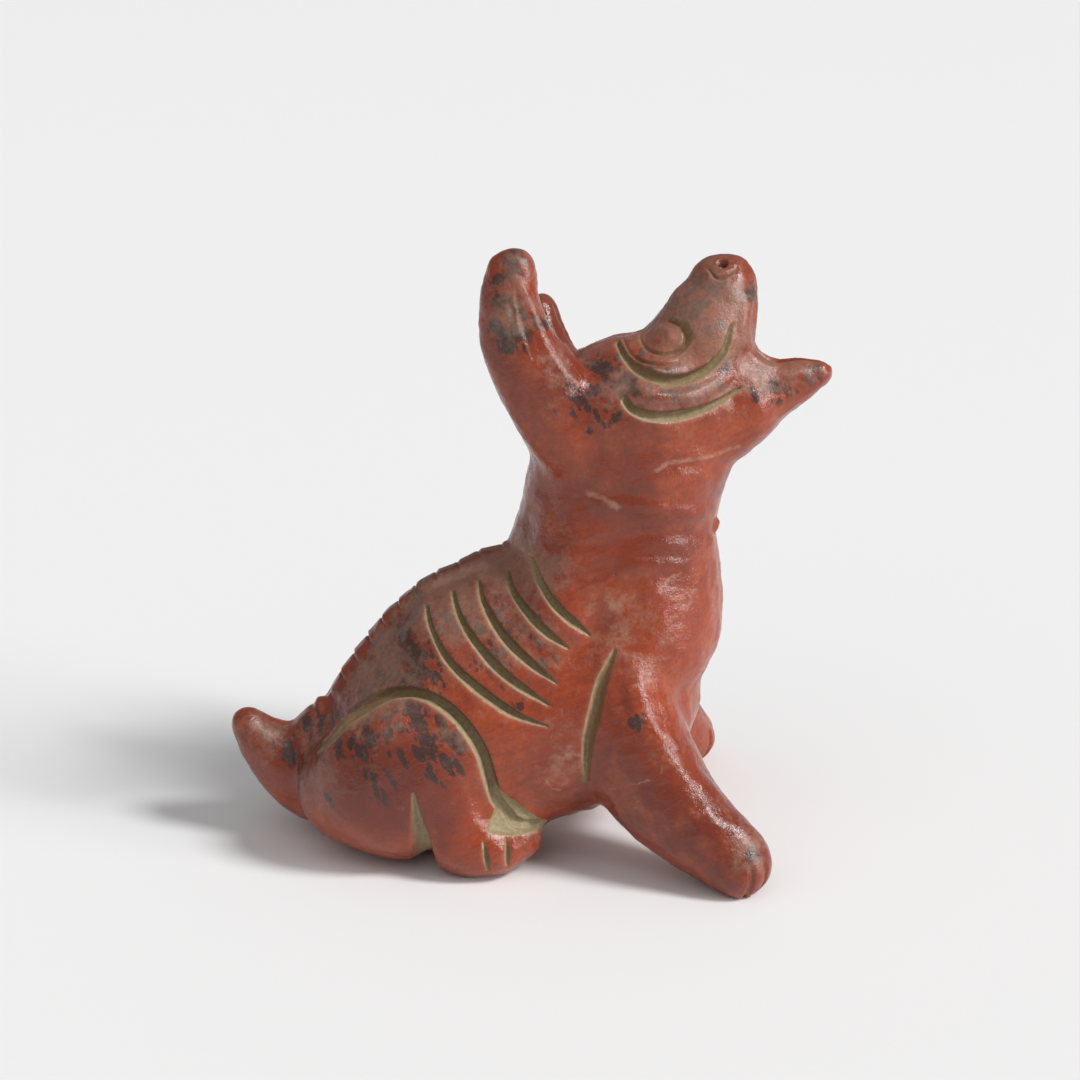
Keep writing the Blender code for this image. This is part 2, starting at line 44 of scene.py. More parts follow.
rollsOfClay = {  # each station: x, y, z, the radius across, then the outer and the inner radius
    "torso": [
        (-31, 0, 11.5, 8.6, 10.8, 9.2),
        (-28, 0, 13.0, 12.6, 14.2, 11.8),
        (-22, 0, 15.0, 16.6, 20.0, 14.2),
        (-16, 0, 17.0, 19.0, 24.2, 15.5),
        (-10, 0, 18.5, 19.7, 25.8, 15.3),
        (-4, 0, 20.0, 19.8, 26.8, 16.0),
        (3, 0, 21.5, 19.6, 26.6, 17.0),
        (10, 0, 22.5, 19.0, 25.0, 16.8),
        (14.6, 0, 24.2, 16.4, 20.0, 13.6),
    ],
    "breast": [
        (13.6, 0, 13, 6.4, 6.0, 6.0),
        (14.4, 0, 17, 10.8, 9.8, 8.6),
        (15.0, 0, 21.5, 13.8, 11.4, 10.2),
        (15.4, 0, 26.5, 15.6, 14.8, 12.2),
        (15.6, 0, 32, 16.2, 17.0, 15.0),
        (15.2, 0, 38, 15.6, 16.7, 16.1),
        (14.8, 0, 44, 14.7, 16.6, 15.8),
        (15.0, 0, 50, 13.8, 16.8, 15.1),
        (16.0, 0, 56, 13.2, 16.2, 14.5),
        (16.8, 0, 62, 13.2, 15.8, 14.8),
        (17.0, 0, 67, 12.2, 14.4, 13.2),
    ],
    "withers": [
        (4.0, 0, 34, 16.0, 13.0, 12.0),
        (5.5, 0, 40, 15.2, 11.0, 12.0),
        (7.0, 0, 45, 14.2, 9.6, 12.0),
        (9.0, 0, 50, 13.4, 10.0, 12.0),
        (12.0, 0, 56, 12.9, 11.8, 12.0),
    ],
    "skull": [
        (7, 0, 68.8, 10.8, 9.0, 8.8),
        (10, 0, 68.8, 13.2, 10.6, 10.4),
        (16, 0, 69.2, 14.0, 12.0, 11.0),
        (22, 0, 69.6, 13.0, 12.6, 11.4),
        (28, 0, 70.4, 10.0, 11.2, 10.0),
        (32, 0, 71.2, 7.4, 8.6, 7.6),
    ],
    "snout": [
        (20.0, 0, 68.0, 12.0, 12.2, 12.0),
        (24.5, 0, 76.0, 9.8, 9.0, 9.2),
        (28.0, 0, 83.0, 8.0, 7.6, 7.2),
        (29.3, 0, 86.2, 6.6, 7.1, 6.0),
        (29.7, 0, 88.2, 5.5, 5.8, 5.0),
    ],
    "lowerJaw": [
        (22, 0, 65.0, 10.0, 9.0, 8.0),
        (30, 0, 69.6, 7.6, 7.8, 7.6),
        (36, 0, 72.4, 5.4, 5.6, 5.4),
        (41, 0, 74.6, 3.9, 3.6, 3.6),
        (44.2, 0, 75.8, 2.7, 2.1, 2.3),
    ],
    "rightEar": [
        (9.6, -7.5, 65.0, 5.5, 7.4, 8.0),
        (4.3, -9.5, 72.0, 5.2, 6.8, 7.0),
        (0.8, -11.0, 78.5, 4.6, 6.2, 5.2),
        (-0.9, -12.0, 85.0, 4.0, 5.4, 4.2),
        (-0.9, -12.6, 90.2, 3.4, 4.2, 3.6),
    ],
    "leftEar": [
        (9.5, 7.5, 65.0, 5.5, 8.0, 8.0),
        (4.8, 9.5, 71.0, 5.0, 6.4, 6.2),
        (1.6, 11.0, 76.5, 4.4, 5.2, 4.8),
        (0.4, 11.8, 80.8, 3.8, 4.3, 3.8),
        (0.2, 12.0, 83.4, 3.1, 3.4, 3.1),
    ],
    "tail": [
        (-28.0, 0, 10.5, 8.2, 11.5, 11.0),
        (-34.2, 0, 10.8, 6.8, 8.8, 7.0),
        (-38.4, 0, 12.8, 5.6, 6.3, 5.4),
        (-41.6, 0, 15.4, 4.4, 4.6, 4.3),
        (-44.2, 0, 18.8, 3.1, 2.9, 2.7),
    ],
    "frontLeg": [
        (12.5, -8.0, 35.0, 8.0, 8.4, 8.5),
        (16.5, -12.0, 25.5, 8.8, 6.5, 12.4),
        (20.5, -16.0, 17.5, 8.2, 5.5, 11.8),
        (25.0, -20.0, 10.8, 6.9, 5.5, 9.2),
        (29.0, -23.0, 6.4, 5.9, 5.7, 6.8),
        (31.2, -24.6, 4.2, 5.4, 5.2, 5.4),
    ],
    "leftLegSetBack": 1.8,
    "thigh": [
        (-29.0, -9.0, 10.5, 6.8, 8.8, 9.2),
        (-24.0, -11.8, 12.5, 8.4, 12.6, 12.4),
        (-18.0, -12.4, 14.5, 8.8, 14.0, 14.4),
        (-12.5, -12.4, 15.0, 8.4, 11.6, 12.5),
        (-9.0, -12.4, 15.0, 7.4, 8.8, 9.0),
    ],
    "shin": [
        (-11.8, -13.4, 19.0, 6.0, 6.4, 6.0),
        (-11.4, -15.0, 12.5, 6.0, 6.2, 6.0),
        (-10.6, -16.2, 6.0, 5.6, 6.0, 6.0),
    ],
    "foot": [
        (-11.0, -15.6, 5.2, 5.4, 5.0, 5.4),
        (-6.5, -16.4, 4.8, 5.8, 5.0, 5.2),
        (-2.2, -15.6, 6.2, 5.0, 4.6, 4.6),
    ],
    "torsoPinch": 1.15,       # above 1 narrows the back, below 1 squares the belly
    "torsoSquareness": 0.75,
    "sides": 40,
    "spanSteps": 6,
    "endTurns": (25, 50, 74),  # degrees round each end
    "voxel": 0.27,
    "thumbedAt": 0.55,        # the passes below are for this voxel
    "thumbPasses": 40,
    "calmPasses": 500,
    "trianglesKept": 192000,
}


def smoothstep(low, high, value):  # 0 below low, 1 above high, t*t*(3 - 2t) between
    t = np.clip((value - low) / (high - low), 0, 1)
    return t * t * (3 - 2 * t)


def curveThrough(stations, steps):
    # Catmull-Rom: each span is b + ((c-a)t + (2a-5b+4c-d)t^2 + (3b-a-3c+d)t^3) / 2.
    known = np.array(stations, float)
    padded = np.vstack([2 * known[0] - known[1], known, 2 * known[-1] - known[-2]])
    a, b, c, d = (padded[i:len(padded) - 3 + i][:, None, :] for i in range(4))
    t = (np.arange(steps) / steps)[None, :, None]
    spans = b + 0.5 * ((c - a) * t + (2 * a - 5 * b + 4 * c - d) * t**2 + (3 * b - a - 3 * c + d) * t**3)
    return np.vstack([spans.reshape(-1, known.shape[1]), known[-1]])


def setBack(stations, distance):
    # The stations moved back, not at all at the first and by the whole distance at the last.
    top, low = stations[0][2], stations[-1][2]
    return [(x - distance * (top - z) / (top - low), y, z, *radii) for x, y, z, *radii in stations]


def rollOfClay(stations, sectionAxis=None, side=1, upper=1.0, lower=1.0):
    # A section cos(u)^p across, sin(u)^p deep, carried along the stations, with rounded ends.
    rows = curveThrough(stations, rollsOfClay["spanSteps"])
    tangents = np.gradient(rows[:, :3], axis=0)
    if sectionAxis is not None:
        tangents = np.tile(np.array(sectionAxis, float), (len(rows), 1))
    tangents /= np.linalg.norm(tangents, axis=1)[:, None]
    turns = np.radians(np.array(rollsOfClay["endTurns"]))

    def rounded(k, sign):  # the rows of one end, shrinking as the cosine while they go out as the sine
        out = sign * np.sin(turns)[:, None] * tangents[k] * rows[k, 3:].min()
        return np.hstack([rows[k, :3] + out, np.cos(turns)[:, None] * rows[k, 3:]])

    layers = np.vstack([rounded(0, -1)[::-1], rows, rounded(-1, 1)])
    count = len(turns)
    along = np.vstack([np.tile(tangents[0], (count, 1)), tangents, np.tile(tangents[-1], (count, 1))])
    sideways = np.array([0.0, 1.0, 0.0]) - along[:, 1:2] * along
    sideways /= np.linalg.norm(sideways, axis=1)[:, None]
    deepways = np.cross(along, sideways)
    u = np.arange(rollsOfClay["sides"]) * 2 * np.pi / rollsOfClay["sides"]
    bend = np.where(np.sin(u) > 0, upper, lower)
    acrossShare = np.sign(np.cos(u)) * np.abs(np.cos(u)) ** bend
    deepShare = np.sign(np.sin(u)) * np.abs(np.sin(u)) ** bend
    deep = np.where(deepShare > 0, layers[:, 4:5], layers[:, 5:6]) * deepShare
    grid = (layers[:, None, :3] + (layers[:, 3:4] * acrossShare)[:, :, None] * sideways[:, None, :]
            + deep[:, :, None] * deepways[:, None, :])
    grid[:, :, 1] *= side
    return grid


def meshOfRolls(grids):
    # Every grid's quads between neighbouring rows, and one polygon over each end.
    points, faces, first = [], [], 0
    for grid in grids:
        rows, sides = grid.shape[:2]
        i, j = np.meshgrid(np.arange(rows - 1), np.arange(sides), indexing="ij")
        k = (j + 1) % sides
        quads = first + np.stack([i * sides + j, i * sides + k, (i + 1) * sides + k, (i + 1) * sides + j], -1)
        last = first + (rows - 1) * sides
        ends = [list(range(first + sides - 1, first - 1, -1)), list(range(last, last + sides))]
        faces += quads.reshape(-1, 4).tolist() + ends
        points.append(grid.reshape(-1, 3))
        first += rows * sides
    mesh = bpy.data.meshes.new("rollsOfClay")
    mesh.from_pydata((np.vstack(points) * mm).tolist(), [], faces)
    return mesh


def evaluated(mesh, *modifiers):
    # A new mesh: this one with the modifiers, each a type and its settings.
    work = bpy.data.objects.new("work", mesh)
    bpy.context.scene.collection.objects.link(work)
    for kind, settings in modifiers:
        modifier = work.modifiers.new(kind.lower(), kind)
        for name, value in settings.items():
            setattr(modifier, name, value)
    made = bpy.data.meshes.new_from_object(work.evaluated_get(bpy.context.evaluated_depsgraph_get()))
    bpy.data.objects.remove(work)
    return made


def pointsOf(mesh, what="co"):  # a mesh's points in millimetres, or its normals
    values = np.empty(len(mesh.vertices) * 3, np.float32)
    mesh.vertices.foreach_get(what, values)
    values = values.reshape(-1, 3).astype(float)
    return values / mm if what == "co" else values


def fusedClay():
    clay = rollsOfClay
    grids = [
        rollOfClay(clay["torso"], (1, 0, 0), 1, clay["torsoPinch"], clay["torsoSquareness"]),
        rollOfClay(clay["breast"], (0, 0, 1)),
        rollOfClay(clay["withers"], (0, 0, 1)),
        rollOfClay(clay["skull"], (1, 0, 0)),
    ]
    grids += [rollOfClay(clay[name]) for name in ("snout", "lowerJaw", "tail", "rightEar", "leftEar")]
    grids += [rollOfClay(clay[name], side=side) for name in ("thigh", "shin", "foot") for side in (1, -1)]
    grids.append(rollOfClay(clay["frontLeg"]))
    grids.append(rollOfClay(setBack(clay["frontLeg"], clay["leftLegSetBack"]), side=-1))
    passes = round(clay["thumbPasses"] * (clay["thumbedAt"] / clay["voxel"]) ** 2)
    return evaluated(
        meshOfRolls(grids),
        ("REMESH", {"mode": "VOXEL", "voxel_size": clay["voxel"] * mm}),
        ("SMOOTH", {"factor": 0.5, "iterations": passes}),
    )


class Clay:
    # The figure's points in millimetres, their normals, the calm normals of a smoother copy, which
    # pass over creases, and what is painted on each point.
    def __init__(self, mesh):
        smoother = evaluated(mesh, ("SMOOTH", {"factor": 0.5, "iterations": rollsOfClay["calmPasses"]}))
        self.points = pointsOf(mesh)
        self.normals = pointsOf(mesh, "normal")
        self.calm = pointsOf(smoother, "normal")
        self.calmPoints = pointsOf(smoother)
        # the deep mask holds painted shade; the dust mask holds dust and painted sheen
        names = ("floor", "lean", "pale", "scuff", "dustAndSheenMask", "deep", "fleck", "cut", "soot")
        self.masks = {name: np.zeros(len(self.points)) for name in names}
        self.masks["cut"][:] = -1
        self.masks["soot"][:] = -1
        outward = self.calm[:, 1] * np.sign(self.points[:, 1])
        x, y, z = self.points.T
        shelf = smoothstep(6, 10, np.abs(y)) * (1 - smoothstep(32, 36, z)) * (1 - smoothstep(0, 4, x))
        outward += carving["shelfFacing"] * shelf
        self.side = np.flatnonzero(outward > 0)
        self.facing = smoothstep(*carving["facing"], outward[self.side])
        self.flat = self.points[self.side][:, [0, 2]]

    def seen(self, tilt):
        # The side view from a little above: z less the tilt times what |y| is over the thigh's 18 mm.
        return self.flat - tilt * (np.abs(self.points[self.side, 1:2]) - 18) * np.array([0, 1])

    def raise_(self, which, height, along=None):
        along = self.normals if along is None else along
        self.points[which] += along[which] * height[:, None]


carving = {  # side-view lines, x and z; the sizes are shares of the width along the line
    "cuts": {
        "ribs": {
            "lines": [
                [(0.7, 48.1), (2.5, 44.6), (4.9, 41.8), (9.1, 38.1)],
                [(-3.0, 45.3), (-2.2, 43.1), (0.2, 40.8), (2.8, 38.6), (5.8, 36.4)],
                [(-7.3, 43.7), (-6.7, 41.6), (-4.3, 38.2), (-0.7, 34.9), (4.0, 31.5)],
                [(-11.3, 42.0), (-10.3, 39.5), (-7.7, 36.3), (-3.7, 32.6), (2.8, 28.4)],
                [(-15.4, 39.7), (-14.4, 37.1), (-11.9, 33.8), (-7.5, 30.4), (-2.3, 27.1), (2.6, 25.2)],
            ],
            "width": 1.55, "depth": 1.15, "sizes": (0.55, 0.9, 1.1, 0.95, 0.3),
        },
        "shoulder": {
            "lines": [[(12.8, 36.2), (10.9, 31.9), (9.7, 27.5), (8.6, 22.2), (8.4, 15.8)]],
            "width": 2.2, "depth": 1.0, "sizes": (0.35, 0.9, 1.0, 0.85, 0.4),
            "slope": 0.8, "wall": 0.9, "paleAndLitRim": 0.6, "floor": 0.8,
        },
        "haunch": {
            "lines": [[
                (-32.5, 20.5), (-27.9, 25.8), (-23.4, 29.1), (-18.8, 30.4), (-14.2, 29.2),
                (-10.3, 25.8), (-7.6, 21.3), (-6.2, 16.4), (-5.1, 12.4), (-2.4, 9.2), (1.5, 8.3),
            ]],
            "width": 2.2, "depth": 1.3, "sizes": (0.2, 0.7, 0.95, 1.0, 1.0, 1.0, 1.0),
            "slope": 0.8, "tilt": 0.325,
        },
        "knee": {
            "lines": [[(-17.8, 15.6), (-17.5, 12.0), (-17.2, 8.3), (-16.8, 4.8), (-16.6, -1.0)]],
            "width": 4.4, "depth": 2.0, "sizes": (0.15, 0.6, 0.95, 1.25),
            "slope": 1.6, "paleAndLitRim": 0.0, "pale": 0.9, "fade": (-1.0, 0.3),
        },
        "eyeSocket": {
            "lines": [[
                (14.0, 79.8), (15.6, 77.8), (18.0, 75.9), (21.2, 74.8), (24.5, 75.0),
                (27.4, 76.3), (29.6, 78.6), (30.9, 82.8),
            ]],
            "width": 1.7, "depth": 1.05, "sizes": (0.5, 0.9, 1.0, 1.0, 0.8, 0.4),
        },
        "eyeRing": {
            "lines": [[
                (17.5, 81.4), (17.6, 80.2), (19.0, 79.0), (20.9, 78.3), (22.9, 78.6), (24.2, 79.8),
                (24.5, 81.4), (23.6, 82.8), (21.6, 83.4),
            ]],
            "width": 1.05, "depth": 0.6, "sizes": (0.3, 0.6, 0.8, 0.9, 1.3, 1.7, 0.9), "floor": 0.6,
        },
        "lowerLid": {
            "lines": [[(14.9, 80.3), (16.2, 78.5), (18.4, 77.2), (21.0, 76.8), (23.4, 77.3)]],
            "width": 0.9, "depth": 0.5, "sizes": (0.4, 1.0, 0.9, 0.3), "floor": 0.3,
        },
        "cheek": {
            "lines": [[(15.8, 71.9), (17.2, 70.4), (20.8, 69.5), (25.8, 70.2), (29.4, 71.6), (32.4, 73.6)]],
            "width": 1.8, "depth": 1.1, "sizes": (0.7, 1.0, 1.0, 0.7, 0.3),
        },
        "earTrough": {
            "lines": [[(-0.2, 88.2), (0.5, 84.0), (1.6, 80.4), (2.5, 77.5)], [(-1.3, 86.3), (-0.2, 82.4)]],
            "width": 1.9, "depth": 0.34, "sizes": (0.3, 1.0, 0.3),
            "slope": 1.4, "wall": 0.7, "paleAndLitRim": 0.3, "floor": 0.12,
        },
        "nose": {
            "lines": [[(27.1, 90.9), (28.3, 89.7), (29.5, 89.8), (31.5, 91.3)]],
            "width": 0.9, "depth": 0.35, "sizes": (0.5, 1.0, 0.5), "floor": 0.4,
        },
        "toes": {
            "lines": [[(-7.2, 7.3), (-6.9, 5.2), (-6.6, 2.6)], [(-3.7, 7.7), (-3.6, 5.8), (-3.7, 3.4)]],
            "width": 1.0, "depth": 0.6, "sizes": (0.5, 1.0, 0.7),
        },
        "neckFolds": {
            "lines": [
                [(4.8, 51.1), (10.6, 51.6), (18.1, 52.4), (24.4, 51.9), (29.3, 50.6)],
                [(16.0, 60.4), (20.5, 61.2), (25.0, 61.5), (28.9, 61.3)],
            ],
            "width": 5.5, "depth": 0.6, "sizes": (0.3, 1.0, 0.8),
            "slope": 2.0, "wall": 2.0, "paleAndLitRim": 0.0, "floor": 0.0,
        },
    },
    "web": [  # the flat between the groove, the flank and the foot
        (-4.9, 15.0), (-5.4, 12.3), (-6.2, 10.0), (-6.4, 8.7), (-4.0, 8.3), (-1.6, 8.1),
        (1.0, 7.9), (2.3, 8.0), (-0.4, 10.4), (-2.9, 12.9),
    ],
    "webGrown": 0.3,
    "webDepth": 0.55,
    "webSlope": 0.7,
    "relaxed": (1.5, 5.0),    # from wholly the smoother copy to wholly the clay
    "lineSteps": 6,
    "wall": 0.35,             # how far a steep wall takes to reach the floor
    "slope": 0.6,             # a gentle side's share of the half width
    "facing": (0.0, 0.22),    # only what looks sideways is carved
    "shelfFacing": 0.2,       # and more of the thigh's top
}


def closeTo(flat, line, margin):  # which side-view points lie in the line's box and the margin
    corners = np.array(line)
    inBox = (flat > corners.min(axis=0) - margin) & (flat < corners.max(axis=0) + margin)
    return np.flatnonzero(inBox.all(axis=1))


def alongLine(flat, line):
    # For side-view points: the signed distance to a line (positive on its left), the overshoot
    # past either end, and the share of its length, all from the nearest straight step.
    path = curveThrough(line, carving["lineSteps"])
    steps = np.diff(path, axis=0)
    sizes = np.linalg.norm(steps, axis=1)
    before = np.concatenate([[0], np.cumsum(sizes)])
    best, across = np.full(len(flat), np.inf), np.zeros(len(flat))
    beyond, share = np.zeros(len(flat)), np.zeros(len(flat))
    for k, (start, step, size) in enumerate(zip(path, steps / sizes[:, None], sizes)):
        offset = flat - start
        reach = offset @ step
        t = np.clip(reach, 0, size)
        distance = np.hypot(*(offset - t[:, None] * step).T)
        near = distance < best
        best[near] = distance[near]
        sign = np.sign(step[0] * offset[near, 1] - step[1] * offset[near, 0])
        past = np.zeros(near.sum())
        if k == 0:
            past = np.maximum(past, -reach[near])
        if k == len(steps) - 1:
            past = np.maximum(past, reach[near] - size)
        beyond[near] = past
        across[near] = sign * np.sqrt(np.maximum(distance[near] ** 2 - past**2, 0))
        share[near] = (before[k] + t[near]) / before[-1]
    return across, beyond, share


def insideOutline(flat, outline):
    # The distance to a closed outline, positive inside it, by counting the sides crossed upwards.
    corners = np.array(outline)
    inside, best = np.zeros(len(flat), bool), np.full(len(flat), np.inf)
    for start, end in zip(corners, np.roll(corners, -1, axis=0)):
        step = end - start
        offset = flat - start
        t = np.clip(offset @ step / (step @ step), 0, 1)
        best = np.minimum(best, np.hypot(*(offset - t[:, None] * step).T))
        spans = (start[1] > flat[:, 1]) != (end[1] > flat[:, 1])
        crossing = start[0] + (flat[:, 1] - start[1]) * step[0] / (step[1] or 1e-9)
        inside ^= spans & (flat[:, 0] < crossing)
    return np.where(inside, best, -best)


def relaxCreases(clay):
    # Near the haunch's line the points go over to the smoother copy, which fills the fold there.
    inner, outer = carving["relaxed"]
    haunch = carving["cuts"]["haunch"]
    flat = clay.seen(haunch["tilt"])
    for line in haunch["lines"]:
        near = closeTo(flat, line, outer)
        across, beyond, share = alongLine(flat[near], line)
        weight = 1 - smoothstep(inner, outer, np.hypot(across, beyond))
        chosen = clay.side[near]
        clay.points[chosen] += weight[:, None] * (clay.calmPoints[chosen] - clay.points[chosen])


def carveFlanks(clay):
    # A cut has a steep wall on its left and a gentle slope on its right: its depth is the product
    # of both walls' smooth steps. "cut" is how far inside its edge a point is, and "lean" goes from
    # -1 at the gentle edge to 1 at the steep one.
    cut, lean = np.full(len(clay.side), -1.0), np.zeros(len(clay.side))
    sunk, floor, pale = np.zeros(len(clay.side)), np.zeros(len(clay.side)), np.zeros(len(clay.side))
    for settings in carving["cuts"].values():
        width, depth, sizes = settings["width"], settings["depth"], settings["sizes"]
        flat = clay.seen(settings.get("tilt", 0.0))
        for line in settings["lines"]:
            near = closeTo(flat, line, 0.5 * width * max(sizes) + 1.0)
            across, beyond, share = alongLine(flat[near], line)
            half = 0.5 * width * np.interp(share, np.linspace(0, 1, len(sizes)), sizes)
            wall = np.minimum(settings.get("wall", carving["wall"]), half)
            slope = settings.get("slope", carving["slope"]) * half
            inside = (1 - smoothstep(half - wall, half, across)) * smoothstep(-half, -half + slope, across)
            inside *= 1 - smoothstep(0, 1, beyond / np.maximum(0.8 * half, 0.05))
            sunk[near] = np.maximum(sunk[near], depth * np.minimum(2 * half / width, 1.0) * inside)
            painted = settings.get("floor", 1.0)
            if painted == 0:
                continue
            within = np.clip(half - np.abs(across) - beyond, -1, 1)
            nearer = within > cut[near]
            chosen = near[nearer]
            cut[chosen] = within[nearer]
            # the lean's reach onto the gentle side sets how much pale rim, partly painted light, that side
            # gets
            paleAndLitRim = settings.get("paleAndLitRim", 1.0)
            lean[chosen] = np.clip(across[nearer] / half[nearer], -paleAndLitRim, 1)
            start, full = settings.get("fade", (-3, -2))
            floor[chosen] = painted * smoothstep(start, full, across[nearer] / half[nearer])
            pale[chosen] = settings.get("pale", 0.0)
    away = insideOutline(clay.flat, carving["web"]) + carving["webGrown"]
    webbed = smoothstep(0.0, carving["webSlope"], away)
    sunk = np.maximum(sunk, carving["webDepth"] * webbed)
    inWeb = away > np.maximum(cut, -0.3)
    cut[inWeb] = np.minimum(away[inWeb], 1)
    lean[inWeb] = 0
    floor[inWeb] = 1
    pale = np.maximum(pale, smoothstep(-1.0, 0.6, away))
    for name, values in (("cut", cut), ("lean", lean), ("floor", floor), ("pale", pale)):
        clay.masks[name][clay.side] = values
    clay.masks["cut"][clay.side] = clay.facing * (cut + 1) - 1
    clay.raise_(clay.side, -sunk * clay.facing, clay.calm)


modelling = {  # what stands proud or is pressed in by hand
    "rolls": [  # a side-view line, its width and its height
        ([(16.8, 74.4), (20.2, 72.4), (25.2, 72.6), (28.9, 74.2), (31.8, 76.6)], 3.4, 0.75),
        ([(33.4, 87.5), (32.7, 83.5), (33.0, 80.2), (34.8, 77.8), (38.0, 76.6)], 2.6, 0.45),
        ([(14.4, 37.0), (15.6, 31.0), (17.6, 25.5), (20.8, 20.1)], 5.0, 0.35),
        ([(-0.4, 89.4), (1.9, 85.6), (3.6, 81.5), (5.6, 77.5), (8.4, 73.8)], 2.6, 0.45),
        ([(14.8, 78.9), (16.4, 77.6), (18.6, 76.5), (21.4, 75.9), (24.4, 76.3)], 1.8, 0.3),
        ([(12.0, 79.8), (14.6, 81.6), (17.5, 83.4)], 2.6, 0.45),
        ([(9.0, 57.5), (17.0, 57.0), (24.0, 55.6), (29.5, 54.5)], 3.4, 0.55),
        ([(13.0, 48.5), (19.0, 48.5), (25.0, 47.5)], 3.4, 0.35),
    ],
    "rollShoulder": (0.05, 0.5),
    "eyeBall": (20.8, 80.9),
    "eyeBallRadii": (3.0, 2.1),
    "eyeBallHeight": 0.65,
    "nub": (29.4, -3.8, 51.6),
    "nubRadius": 1.6,
    "nubHeight": 0.7,
    "spine": [(-33.0, 20.5), (-28.0, 27.0), (-22.0, 35.0), (-15.0, 41.2), (-8.0, 44.8), (0.0, 48.0)],
    "spineTeeth": 12,
    "spineHeight": 1.3,
    "spineFloor": 0.5,
    "spineRise": 0.22,
    "spineFall": 0.55,
    "spineUneven": 0.5,
    "spineEnds": (0.03, 0.94),  # the shares of its length where it has risen and starts to sink
    "spineCrest": 0.15,
    "spineHalfWidth": 3.4,
    "spineReach": 6.0,
    "mouthRoof": [(33.8, 88.0), (33.0, 83.0), (34.0, 79.5)],
    "mouthFloor": [(34.0, 79.0), (37.5, 77.2), (42.0, 77.2)],
    "mouthCut": (5.0, 1.6, (0.4, 1.0, 0.5)),
    "mouthReach": (2.0, 4.0),
    "mouthFacing": 0.3,
    "nostril": (29.2, 3.2, 91.8),
    "nostrilRadius": 1.1,
    "nostrilDepth": 1.1,
    "frontPaw": (30.0, 23.6),
    "toeBearings": (-24, 8, 38, 66),
    "toeRadii": (2.8, 3.6, 10.0),
    "toeTop": (5.3, 6.8),
    "toeNotch": 0.45,
    "toeDepth": 0.45,
    "waves": [(14.0, 0.16), (6.0, 0.1), (2.6, 0.045), (1.3, 0.018)],  # each wavelength and height
    "waveCount": 14,
    "waveSeed": 7,
}


def raiseSpine(clay):
    # A ridge along the back whose teeth rise fast and fall slowly, each of its own height
    # 1 - uneven * sin(3k)^2, and which fades across.
    shape = modelling
    across, beyond, share = alongLine(clay.points[:, [0, 2]], shape["spine"])
    teeth = share * shape["spineTeeth"]
    through = teeth % 1.0
    tall = 1 - shape["spineUneven"] * np.sin(3 * np.floor(teeth)) ** 2
    tooth = smoothstep(0, shape["spineRise"], through) * (1 - shape["spineFall"] * through) * tall
    height = shape["spineHeight"] * (shape["spineFloor"] + (1 - shape["spineFloor"]) * tooth)
    risen, sinking = shape["spineEnds"]
    ends = smoothstep(0.0, risen, share) * (1 - smoothstep(sinking, 1.0, share))
    wide = 1 - smoothstep(shape["spineCrest"], 1.0, np.abs(clay.points[:, 1]) / shape["spineHalfWidth"])
    near = (np.hypot(across, beyond) < shape["spineReach"]) & (clay.normals[:, 2] > 0.1)
    clay.raise_(slice(None), height * ends * wide * near)


def swellRolls(clay):
    # A roll swells as a smooth step off its line, thinner at both ends, and a knob as a squashed dome.
    shape = modelling
    swell = np.zeros(len(clay.side))
    for line, width, height in shape["rolls"]:
        near = closeTo(clay.flat, line, width)
        across, beyond, share = alongLine(clay.flat[near], line)
        away = np.hypot(across, beyond) / width
        thinning = np.sqrt(np.sin(np.pi * share))
        swell[near] += height * (1 - smoothstep(*shape["rollShoulder"], away)) * thinning
    ball = np.hypot(*((clay.flat - shape["eyeBall"]) / shape["eyeBallRadii"]).T)
    swell += shape["eyeBallHeight"] * (1 - smoothstep(0.3, 1.0, ball))
    clay.raise_(clay.side, swell * clay.facing, clay.calm)
    away = np.linalg.norm(clay.points - shape["nub"], axis=1) / shape["nubRadius"]
    clay.raise_(slice(None), shape["nubHeight"] * (1 - smoothstep(0.2, 1.0, away)))


def openMouth(clay):
    # The roof and floor of the mouth sink between the lips, by a smooth step of |y| over the width.
    width, depth, sizes = modelling["mouthCut"]
    sunk = np.zeros(len(clay.points))
    for name, axis in (("mouthRoof", 0), ("mouthFloor", 2)):
        intoMouth = clay.normals[:, axis]
        across, beyond, share = alongLine(clay.points[:, [0, 2]], modelling[name])
        half = 0.5 * width * np.interp(share, np.linspace(0, 1, len(sizes)), sizes)
        hollow = depth * (1 - smoothstep(0.3, 1.0, np.abs(clay.points[:, 1]) / half))
        near = 1 - smoothstep(*modelling["mouthReach"], np.hypot(across, beyond))
        sunk += hollow * near * (intoMouth > modelling["mouthFacing"])
    clay.raise_(slice(None), -sunk)


def pierceNostrils(clay):
    folded = clay.points * (1, 0, 1) + np.abs(clay.points) * (0, 1, 0)
    away = np.linalg.norm(folded - modelling["nostril"], axis=1)
    pit = 1 - smoothstep(0.3, 1.0, away / modelling["nostrilRadius"])
    # the pit is painted with the soot colour: painted shade in the hole
    clay.masks["soot"][:] = np.maximum(clay.masks["soot"], 2 * pit - 1)
    clay.raise_(slice(None), -modelling["nostrilDepth"] * pit)


def notchToes(clay):
    # Notches at bearings round each forepaw's end, each a smooth step of the distance off its bearing.
    inner, outer, limit = modelling["toeRadii"]
    low = 1 - smoothstep(*modelling["toeTop"], clay.points[:, 2])
    setback = rollsOfClay["leftLegSetBack"] * (clay.points[:, 1] > 0)
    ahead = clay.points[:, 0] - modelling["frontPaw"][0] + setback
    outwards = np.abs(clay.points[:, 1]) - modelling["frontPaw"][1]
    radius, bearing = np.hypot(ahead, outwards), np.arctan2(outwards, ahead)
    front = smoothstep(inner, outer, radius) * (radius < limit) * low
    for degrees in modelling["toeBearings"]:
        off = np.abs(bearing - math.radians(degrees)) * radius
        notch = front * (1 - smoothstep(0.2, 1.6, off / modelling["toeNotch"]))
        clay.raise_(slice(None), -modelling["toeDepth"] * notch)


